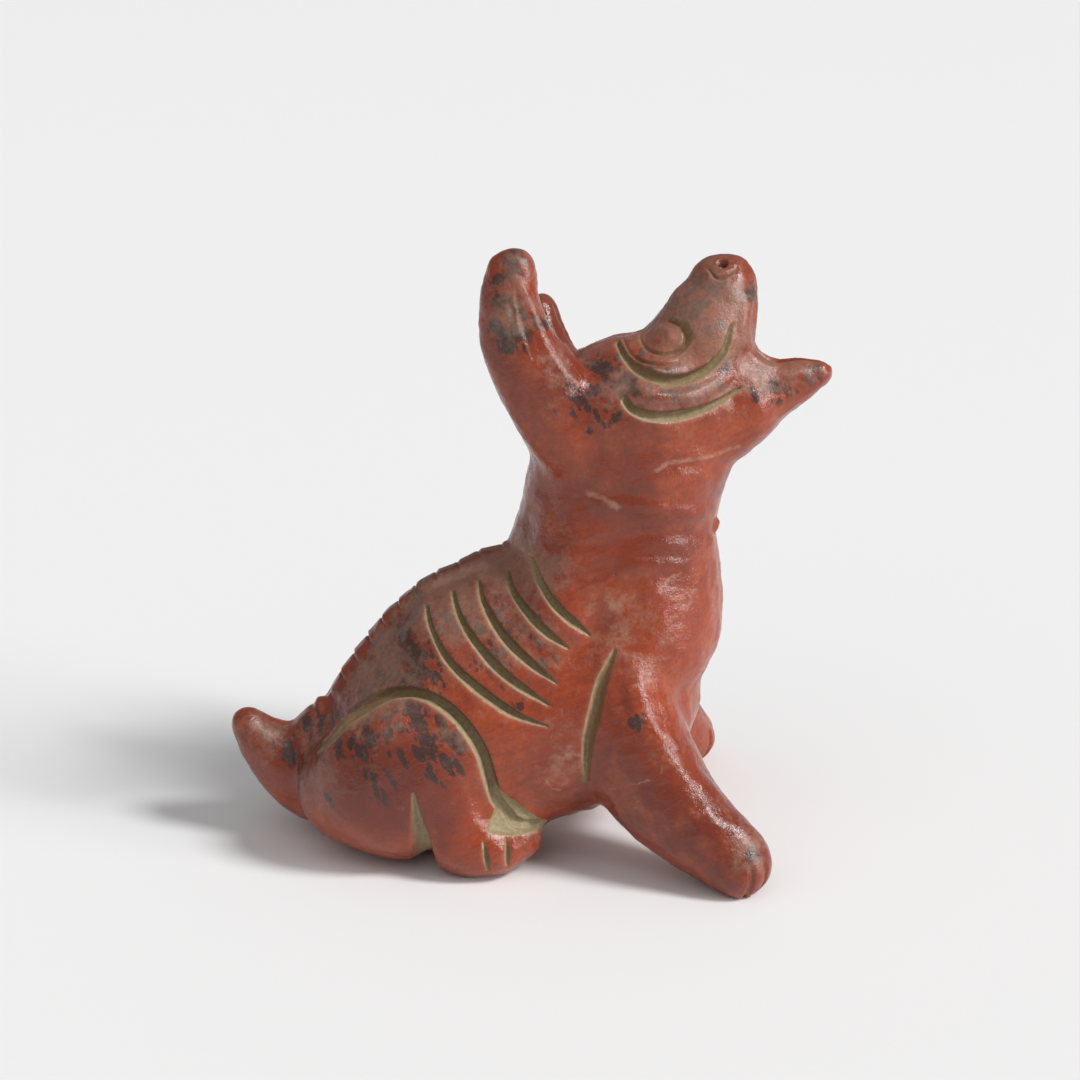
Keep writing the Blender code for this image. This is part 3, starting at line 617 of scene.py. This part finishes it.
def handWaves(points):
    # The hand's unevenness: for each wavelength, the mean of sine waves in seeded directions.
    dice = np.random.default_rng(modelling["waveSeed"])
    height = np.zeros(len(points))
    for wavelength, size in modelling["waves"]:
        ways = dice.normal(size=(3, modelling["waveCount"]))
        ways /= np.linalg.norm(ways, axis=0)
        phases = dice.uniform(0, 2 * np.pi, modelling["waveCount"])
        waves = np.sin(points @ ways * (2 * np.pi / wavelength) + phases)
        height += size * waves.sum(axis=1) / math.sqrt(modelling["waveCount"])
    return height


wearAndPaintedLight = {  # side-view places and radii of the soot, and lines of the pale scuffs with their width; further on, places of painted shade and of dust with painted sheen
    "strokes": [
        (-17.1, 26.4, 1.8), (-15.4, 22.9, 1.7), (-13.1, 25.2, 1.1), (-11.2, 23.1, 1.4), (-25.6, 21.4, 1.2),
        (-24.7, 24.9, 1.2), (-21.2, 25.9, 0.8), (-23.2, 15.2, 0.8), (-21.6, 18.9, 0.8), (-19.3, 21.2, 0.8),
        (-15.0, 18.3, 0.8), (-32.2, 19.8, 0.8), (-29.1, 21.3, 0.8), (-30.4, 13.0, 0.9), (-34.5, 19.8, 1.2),
        (-11.4, 19.7, 0.8), (-37.6, 15.4, 1.5),
    ],
    "blots": [
        (-16.7, 40.3, 1.4), (-19.2, 35.4, 1.4), (-17.5, 33.6, 1.7), (-17.2, 38.9, 0.9), (-12.2, 39.2, 0.8),
        (-7.3, 38.2, 0.8), (-22.7, 29.7, 0.9), (-24.2, 27.3, 0.8), (-14.2, 31.7, 0.8), (-17.2, 31.4, 1.2),
        (-19.4, 28.9, 0.9), (-3.0, 32.3, 0.6), (-1.6, 28.2, 0.6), (15.6, 26.4, 1.0), (32.4, 7.5, 0.9),
        (-0.5, 91.6, 1.5), (-2.9, 88.9, 1.1), (-1.9, 85.8, 1.2), (-1.0, 80.2, 1.8), (-3.0, 82.2, 1.1),
        (4.2, 82.6, 0.8), (12.2, 76.3, 1.4), (14.6, 77.7, 0.8), (16.6, 74.7, 1.4), (16.7, 73.1, 0.8),
        (9.4, 71.7, 0.9), (14.7, 69.4, 0.8), (12.9, 68.4, 0.5), (18.0, 78.8, 0.6), (22.7, 73.6, 1.0),
        (25.4, 73.7, 0.8), (33.6, 87.1, 1.1), (25.6, 88.7, 0.9), (27.8, 88.1, 0.8), (26.4, 85.6, 0.9),
        (24.3, 84.2, 1.2), (29.0, 82.5, 0.9), (29.7, 76.8, 1.2), (37.6, 74.0, 1.2), (34.8, 72.2, 0.8),
        (43.3, 76.2, 0.8), (10.8, 67.2, 0.5),
    ],
    "strokeSlant": -62,       # degrees from level, and how much longer than wide
    "strokeLength": 2.2,
    "sootReach": 1.8,
    "farShift": (2.5, -3.0),  # the far flank's soot lies elsewhere
    "scuffs": [
        ([(20.1, 61.8), (23.1, 63.0), (26.8, 63.2), (29.6, 63.8), (32.4, 64.8)], 0.5),
        ([(9.3, 58.8), (11.7, 58.2), (14.0, 57.1)], 0.7),
        ([(5.3, 20.3), (6.8, 20.5), (8.2, 19.7), (8.1, 16.2)], 0.35),
        ([(2.1, 16.5), (3.4, 15.0), (4.5, 14.5)], 0.35),
        ([(9.5, 14.2), (14.7, 16.9), (18.9, 18.9), (19.4, 20.6)], 0.2),
        ([(14.9, 30.8), (16.4, 31.7), (19.3, 31.5)], 0.35),
        ([(29.5, 8.6), (31.3, 9.4), (33.3, 9.6)], 0.35),
        ([(-6.3, 8.1), (-2.5, 8.0), (1.1, 7.9)], 0.6),
        ([(-14.3, 42.0), (-10.1, 43.9), (-6.0, 45.2)], 0.5),
        ([(-1.8, 48.5), (-0.6, 48.7), (0.5, 48.6)], 0.25),
        ([(19.0, 44.5), (21.5, 46.2), (23.0, 46.6)], 0.4),
    ],
    "chafed": [
        (13.0, 43.0, 4.5), (13.5, 38.0, 4.5), (9.5, 42.5, 3.5), (-6.5, 45.5, 4.5), (24.0, 42.5, 4.0),
        (5.5, 20.5, 3.5),
    ],
    "chafing": 0.62,
    "paintedShadePlaces": [  # painted shade: darker clay on the haunch, the tail, the low foreleg and the neck; from here on, each place has two radii and an amount
        (-21.0, 16.0, 15.0, 13.0, 1.0), (-36.0, 14.0, 8.0, 8.0, 0.6), (26.0, 11.0, 7.0, 8.0, 0.5),
        (13.0, 60.0, 12.0, 8.0, 0.4),
    ],
    "flecked": [
        (-3.0, 37.0, 13.0, 10.0, 0.75), (-18.0, 33.0, 11.0, 11.0, 0.7), (0.0, 85.0, 5.0, 9.0, 0.45),
        (9.0, 72.0, 8.0, 6.0, 0.6), (20.0, 74.0, 13.0, 6.0, 0.6), (27.0, 84.0, 9.0, 9.0, 0.4),
        (-20.0, 21.0, 15.0, 11.0, 0.5), (-38.0, 16.0, 7.0, 6.0, 0.4), (40.0, 74.0, 8.0, 4.0, 0.4),
    ],
    # places of grey dust and of painted sheen, on the head, back, haunch and tail
    "dustAndSheenPlaces": [
        (26.0, 83.0, 12.0, 11.0, 1.15), (23.0, 73.0, 14.0, 5.0, 0.8), (38.0, 75.5, 10.0, 4.0, 0.7),
        (0.0, 87.0, 6.0, 9.0, 0.8), (5.5, 76.0, 3.0, 9.0, 0.5), (-2.0, 47.0, 12.0, 6.0, 1.0),
        (-13.0, 41.0, 10.0, 8.0, 0.9), (-24.0, 31.0, 9.0, 9.0, 0.8), (-1.0, 37.0, 9.0, 9.0, 0.5),
        (-11.0, 23.5, 4.0, 4.5, 0.5), (-31.0, 14.0, 7.0, 8.0, 0.45), (-42.0, 17.0, 5.0, 5.0, 0.6),
        (5.0, 21.0, 7.0, 8.0, 0.45), (17.0, 38.0, 9.0, 8.0, 0.45), (32.0, 7.5, 4.0, 4.0, 0.6),
    ],
}


def layWearAndPaintedLight(clay):
    # Soot is 1 at a patch's middle, 0 at its reach and less outside, longer along the strokes' slant;
    # a scuff falls off its line as exp(-(distance / width)^2), and a chafed place off its middle.
    far = clay.points[clay.side, 1] > 0
    flat = clay.flat - far[:, None] * np.array(wearAndPaintedLight["farShift"])
    slant = math.radians(wearAndPaintedLight["strokeSlant"])
    turn = np.array([[math.cos(slant), -math.sin(slant)], [math.sin(slant), math.cos(slant)]])
    soot, scuff = np.full(len(flat), -1.0), np.zeros(len(flat))
    for patches, length in ((wearAndPaintedLight["strokes"], wearAndPaintedLight["strokeLength"]), (wearAndPaintedLight["blots"], 1.0)):
        for x, z, radius in patches:
            offset = (flat - (x, z)) @ turn / (length**0.5, length**-0.5)
            soot = np.maximum(soot, 1 - np.hypot(*offset.T) / (wearAndPaintedLight["sootReach"] * radius))
    for line, width in wearAndPaintedLight["scuffs"]:
        near = closeTo(clay.flat, line, 4 * width)
        across, beyond, share = alongLine(clay.flat[near], line)
        scuff[near] = np.maximum(scuff[near], np.exp(-(np.hypot(across, beyond) / width) ** 2))
    for x, z, radius in wearAndPaintedLight["chafed"]:
        away = np.hypot(*(clay.flat - (x, z)).T) / radius
        scuff = np.maximum(scuff, wearAndPaintedLight["chafing"] * (1 - smoothstep(0.2, 1.0, away)))
    # painted shade, dust with painted sheen, and flecks, each fading off its places
    for name, places in (("dustAndSheenMask", wearAndPaintedLight["dustAndSheenPlaces"]), ("deep", wearAndPaintedLight["paintedShadePlaces"]), ("fleck", wearAndPaintedLight["flecked"])):
        for x, z, wide, high, amount in places:
            away = np.hypot(*((flat - (x, z)) / (wide, high)).T)
            there = amount * (1 - smoothstep(0.3, 1.1, away)) * clay.facing
            clay.masks[name][clay.side] = np.maximum(clay.masks[name][clay.side], there)
    clay.masks["soot"][clay.side] = np.maximum(clay.masks["soot"][clay.side], (soot + 1) * clay.facing - 1)
    clay.masks["scuff"][clay.side] = scuff * clay.facing


headPose = {  # the head is cocked about the top of the neck, which twists to follow
    "roll": -9, "turn": -9, "shift": (0.0, -2.0, 0.0), "pivot": (15.0, 0.0, 58.0), "twist": (52.0, 66.0),
}


def cocked(points):
    rolled = Matrix.Rotation(math.radians(headPose["roll"]), 3, "X")
    turn = Matrix.Rotation(math.radians(headPose["turn"]), 3, "Z") @ rolled
    moved = (points - headPose["pivot"]) @ np.array(turn).T + headPose["pivot"] + headPose["shift"]
    share = smoothstep(*headPose["twist"], points[:, 2])[:, None]
    return points * (1 - share) + moved * share


def dogFigure():
    skin = fusedClay()
    print("clay fused:", len(skin.vertices), "points")
    clay = Clay(skin)
    for hand in (raiseSpine, relaxCreases, swellRolls, carveFlanks):
        hand(clay)
    for hand in (openMouth, pierceNostrils, notchToes, layWearAndPaintedLight):
        hand(clay)
    clay.raise_(slice(None), handWaves(clay.points))
    points = cocked(clay.points)
    points[:, 2] = np.maximum(points[:, 2], 0)  # the flats it rests on
    skin.vertices.foreach_set("co", (points * mm).astype(np.float32).ravel())
    for name, mask in clay.masks.items():
        skin.attributes.new(name, "FLOAT", "POINT").data.foreach_set("value", mask.astype(np.float32))
    skin.update()
    print("figure carved")
    triangles = sum(len(face.vertices) - 2 for face in skin.polygons)
    share = min(1.0, rollsOfClay["trianglesKept"] / triangles)
    figure = bpy.data.objects.new("redware_dog", evaluated(
        skin, ("DECIMATE", {"ratio": share, "use_collapse_triangulate": True})))
    figure.data.shade_smooth()
    bpy.context.scene.collection.objects.link(figure)
    print("figure thinned:", triangles, "to", len(figure.data.polygons), "triangles")
    return figure


def srgb(red, green, blue):  # 0 to 255 to linear
    linear = [((c / 255 + 0.055) / 1.055) ** 2.4 if c > 10 else c / 3295 for c in (red, green, blue)]
    return (*linear, 1.0)


class Tone:
    # A shader socket that does arithmetic.
    def __init__(self, paint, socket):
        self.paint, self.socket = paint, socket

    def maths(self, operation, *values):
        return self.paint.node("ShaderNodeMath", {"operation": operation}, dict(enumerate(values)))

    def __add__(self, other):
        return self.maths("ADD", self, other)

    def __sub__(self, other):
        return self.maths("SUBTRACT", self, other)

    def __rsub__(self, other):
        return self.maths("SUBTRACT", other, self)

    def __mul__(self, other):
        return self.maths("MULTIPLY", self, other)

    __radd__ = __add__
    __rmul__ = __mul__

    def between(self, low, high):  # a smooth step from low to high
        return self.paint.node("ShaderNodeMapRange", {"interpolation_type": "SMOOTHSTEP", "clamp": True},
                               {"Value": self, "From Min": low, "From Max": high})

    def larger(self, other):
        return self.maths("MAXIMUM", self, other)

    def other(self, name):  # another output of the same node
        return Tone(self.paint, self.socket.node.outputs[name])


class Paint:
    # A material's node tree.
    def __init__(self, name):
        self.material = bpy.data.materials.new(name)
        self.material.use_nodes = True
        self.tree = self.material.node_tree
        self.shader = self.tree.nodes["Principled BSDF"]

    def node(self, kind, settings=None, sockets=None, out=0):
        made = self.tree.nodes.new(kind)
        for name, value in (settings or {}).items():
            setattr(made, name, value)
        for name, value in (sockets or {}).items():
            self.feed(made.inputs[name], value)
        return Tone(self, made.outputs[out])

    def feed(self, socket, value):
        if isinstance(value, Tone):
            self.tree.links.new(value.socket, socket)
        else:
            socket.default_value = value

    def noise(self, place, size, detail=2, roughness=0.5, distortion=0.0):  # size in millimetres
        return self.node("ShaderNodeTexNoise", None, {
            "Vector": place, "Scale": 1000 / size,
            "Detail": detail, "Roughness": roughness, "Distortion": distortion})

    def spots(self, place, size):
        # How deep a point is in its cell's spot, whose radius grows with the cell's own number over 0.25.
        away = self.node("ShaderNodeTexVoronoi", None, {"Vector": place, "Scale": 1000 / size})
        number = self.node("ShaderNodeSeparateColor", None, {0: away.other("Color")})
        return (number - 0.25) * 0.75 - away

    def mask(self, name):
        return self.node("ShaderNodeAttribute", {"attribute_name": name}, out="Fac")

    def mixed(self, share, first, second):
        return self.node("ShaderNodeMix", {"data_type": "RGBA"}, {0: share, 6: first, 7: second}, out=2)

    def stretched(self, place, way, share):
        # The place less a share of its part along the way, so that patterns run long that way.
        along = self.vectors("DOT_PRODUCT", {0: place, 1: way}, out="Value")
        part = self.vectors("SCALE", {0: way, "Scale": along * share})
        return self.vectors("SUBTRACT", {0: place, 1: part})

    def vectors(self, operation, sockets, out=0):
        return self.node("ShaderNodeVectorMath", {"operation": operation}, sockets, out)


finish = {  # colours, and sizes in millimetres
    "clay": srgb(154, 60, 24),
    "deepClay": srgb(98, 34, 18),
    "warmClay": srgb(182, 80, 30),
    # grey dust, and a painted sheen: the greyish light that up-facing surfaces catch from above
    "dustAndSheen": srgb(150, 116, 96),
    "soot": srgb(40, 35, 33),
    # wall: painted shade, the dark colour laid on a groove's steep wall, where shade falls
    "wall": srgb(86, 50, 30),
    "groove": srgb(122, 102, 66),
    "paleAndLitGroove": srgb(152, 138, 102),
    # rim and fringe: partly the pale cream edge of the slip, partly painted light on a groove's gentle, lit
    # side
    "paleAndLitRim": srgb(170, 144, 114),
    "paleAndLitFringe": srgb(168, 106, 80),
    "scuff": srgb(188, 148, 124),
    "sizes": {
        "broad": 22, "cloudy": 5.5, "mottled": 1.6, "fine": 0.6, "grain": 0.25, "streaks": 0.8,
        "blot": 1.3, "largeFleck": 1.5, "smallFleck": 0.8,
    },
    "slant": (0.47, 0.0, -0.88),
    "stretch": 0.6,
    "levels": (0.94, 0.0, 0.34),
    "levelStretch": 0.9,
    "bump": 0.0001,
    "specular": 0.6,
}


def burnishedRedware():
    paint = Paint("burnishedRedware")
    place = paint.node("ShaderNodeTexCoord", out="Object")
    normal = paint.node("ShaderNodeNewGeometry", out="Normal")
    up = paint.node("ShaderNodeSeparateXYZ", None, {0: normal}, out="Z")
    sizes = finish["sizes"]
    broad = paint.noise(place, sizes["broad"], 2)
    cloudy = paint.noise(place, sizes["cloudy"], 5, 0.6)
    mottled = paint.noise(place, sizes["mottled"], 5, 0.7)
    fine = paint.noise(place, sizes["fine"], 3, 0.6)
    grain = paint.noise(place, sizes["grain"], 2)
    level = paint.stretched(place, finish["levels"], finish["levelStretch"])
    streaks = paint.noise(level, sizes["streaks"], 4, 0.6)
    slanted = paint.stretched(place, finish["slant"], finish["stretch"])
    blot = paint.noise(slanted, sizes["blot"], 6, 0.75, 0.3)
    ragged = (fine - 0.5) * 0.9 + (mottled - 0.5) * 0.9
    large, small = (paint.spots(slanted, sizes[name]) for name in ("largeFleck", "smallFleck"))
    flecks = large.larger(small) + ragged * 0.6

    cut = paint.mask("cut") + (fine - 0.5) * 0.3
    lean = paint.mask("lean") + (fine - 0.5) * 0.4
    painted = paint.mask("floor")
    floor = cut.between(-0.05, 0.12) * painted
    # painted shade: the groove floor darkened beside its steep wall
    wall = lean.between(0.5, 0.95) * floor
    # painted light: a groove's gentle, lit side is painted paler, and so are its rim and the fringe outside
    # it
    litGentleSide = (0.0 - lean).between(-0.2, 0.7)
    nearRim = (0.0 - lean).between(0.3, 0.75) * painted * cloudy.between(0.3, 0.55)
    paleAndLitRim = cut.between(-0.3, 0.0) * (1 - cut.between(0.15, 0.5)) * nearRim
    paleAndLitFringe = cut.between(-0.95, -0.1) * nearRim
    dustAndSheenMask = paint.mask("dustAndSheenMask")
    # dust at its places, and painted sheen on what faces up
    dustAndSheenAmount = (dustAndSheenMask * 0.8 + up * 0.3 + (cloudy - 0.5) * 1.4 + (mottled - 0.5) * 1.9).between(0.15, 0.95)
    dustAndSheen = dustAndSheenAmount * (1 - floor)
    sooty = paint.mask("soot")
    soot = (sooty * 1.0 + (blot - 0.5) * 2.4 + ragged * 0.5).between(0.32, 0.5)
    spotted = (sooty * 0.4 + paint.mask("fleck") * 1.1 + (cloudy - 0.5) * 2.0 + 0.3).between(0.1, 0.8)
    specks = (flecks + spotted * 0.25).between(0.12, 0.24) * spotted
    scuff = (paint.mask("scuff") + (mottled - 0.5) * 1.3 + (fine - 0.5) * 1.0).between(0.4, 1.1)

    colour = paint.mixed(broad.between(0.35, 0.65) * 0.7, finish["clay"], finish["deepClay"])
    # painted light: what faces up is less warm
    warm = (cloudy - up * 0.1 - dustAndSheenMask * 0.15).between(0.42, 0.68)
    # the deep mask is painted shade; the streaks are the burnish's own darker tone
    deep = (streaks.between(0.35, 0.7) * 0.35).larger(paint.mask("deep") * 0.8)
    colour = paint.mixed(warm * 0.5, colour, finish["warmClay"])
    colour = paint.mixed(deep, colour, finish["deepClay"])
    colour = paint.mixed(soot.larger(specks) * mottled.between(0.1, 0.4) * 0.9, colour, finish["soot"])
    colour = paint.mixed(dustAndSheen * 0.55, colour, finish["dustAndSheen"])
    colour = paint.mixed(scuff * 0.5, colour, finish["scuff"])
    colour = paint.mixed(paleAndLitFringe * 0.4, colour, finish["paleAndLitFringe"])
    # the floor is paler in the knee's wedge and the web, and paler on its gentle side as painted light
    olive = paint.mixed(paint.mask("pale").larger(litGentleSide), finish["groove"], finish["paleAndLitGroove"])
    colour = paint.mixed(floor * mottled.between(0.1, 0.4), colour, olive)
    colour = paint.mixed(wall * 0.65, colour, finish["wall"])
    colour = paint.mixed(paleAndLitRim * 0.38, colour, finish["paleAndLitRim"])
    colour = paint.mixed(fine.between(0.35, 0.7) * 0.3, colour, finish["deepClay"])
    rough = 0.22 + 0.2 * dustAndSheenAmount + 0.35 * floor + 0.15 * paleAndLitRim + 0.2 * (fine - 0.5) + 0.15 * (streaks - 0.5)

    relief = fine * 0.7 + grain * 0.45 + mottled * 0.9 + streaks * 0.5
    bump = paint.node("ShaderNodeBump", None, {"Strength": 1.0, "Distance": finish["bump"], "Height": relief})
    shader = paint.shader
    shader.inputs["Specular IOR Level"].default_value = finish["specular"]
    paint.feed(shader.inputs["Base Color"], colour)
    paint.feed(shader.inputs["Roughness"], rough)
    paint.feed(shader.inputs["Normal"], bump)
    return paint.material


dog = dogFigure()
dog.data.materials.clear()
dog.data.materials.append(burnishedRedware())
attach(dog, "root")
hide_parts("dog_figure")
print("finish laid on")

studio = {
    "azimuth": -3.0, "elevation": 18.0, "distance": 0.300, "target": (0.0024, 0.0, 0.0484),
    "focal": 1929.0, "imageSide": 1080.0, "sensor": 36.0,
    "floorColour": (0.86, 0.86, 0.86, 1.0), "floorSide": 16.0,
    "skyStrength": 0.30,
    "lamps": [  # azimuth, elevation, the spread in degrees, strength
        (66, 46, 15, 2.3),
        (66, 14, 20, 1.2),
        (-30, 55, 60, 0.4),
    ],
}


def direction(azimuth, elevation):  # from the figure outwards; azimuth 0 is straight towards the viewer
    a, e = math.radians(azimuth), math.radians(elevation)
    return np.array([math.sin(a) * math.cos(e), -math.cos(a) * math.cos(e), math.sin(e)])


def looking(back):  # the rotation whose -Z looks along -back, with Z kept up
    right = np.cross((0, 0, 1), back)
    right /= np.linalg.norm(right)
    return Matrix(np.column_stack([right, np.cross(back, right), back]).tolist())


def placed(name, data, back, distance):
    thing = bpy.data.objects.new(name, data)
    where = Matrix.Translation((np.array(studio["target"]) + back * distance).tolist())
    thing.matrix_world = where @ looking(back).to_4x4()
    bpy.context.scene.collection.objects.link(thing)
    return thing


def makeStudio():
    lens = bpy.data.cameras.new("camera")
    lens.sensor_width = studio["sensor"]
    lens.lens = studio["focal"] / studio["imageSide"] * studio["sensor"]
    lens.clip_start = 0.01
    back = direction(studio["azimuth"], studio["elevation"])
    bpy.context.scene.camera = placed("camera", lens, back, studio["distance"])
    for k, (azimuth, elevation, spread, strength) in enumerate(studio["lamps"]):
        lamp = bpy.data.lights.new("lamp%d" % k, "SUN")
        lamp.angle = math.radians(spread)
        lamp.energy = strength
        placed("lamp%d" % k, lamp, direction(azimuth, elevation), studio["distance"])
    world = bpy.data.worlds.new("studio")
    world.use_nodes = True
    world.node_tree.nodes["Background"].inputs["Color"].default_value = (1, 1, 1, 1)
    world.node_tree.nodes["Background"].inputs["Strength"].default_value = studio["skyStrength"]
    bpy.context.scene.world = world
    bpy.context.scene.view_settings.view_transform = "Standard"  # plain colours, as a camera's
    half = studio["floorSide"] / 2
    sheet = bpy.data.meshes.new("floor")
    corners = [(-half, -half, 0), (half, -half, 0), (half, half, 0), (-half, half, 0)]
    sheet.from_pydata(corners, [], [(0, 1, 2, 3)])
    paint = Paint("paleFloor")
    paint.shader.inputs["Base Color"].default_value = studio["floorColour"]
    paint.shader.inputs["Roughness"].default_value = 0.9
    sheet.materials.append(paint.material)
    floor = bpy.data.objects.new("floor", sheet)
    bpy.context.scene.collection.objects.link(floor)


makeStudio()
print("studio set")
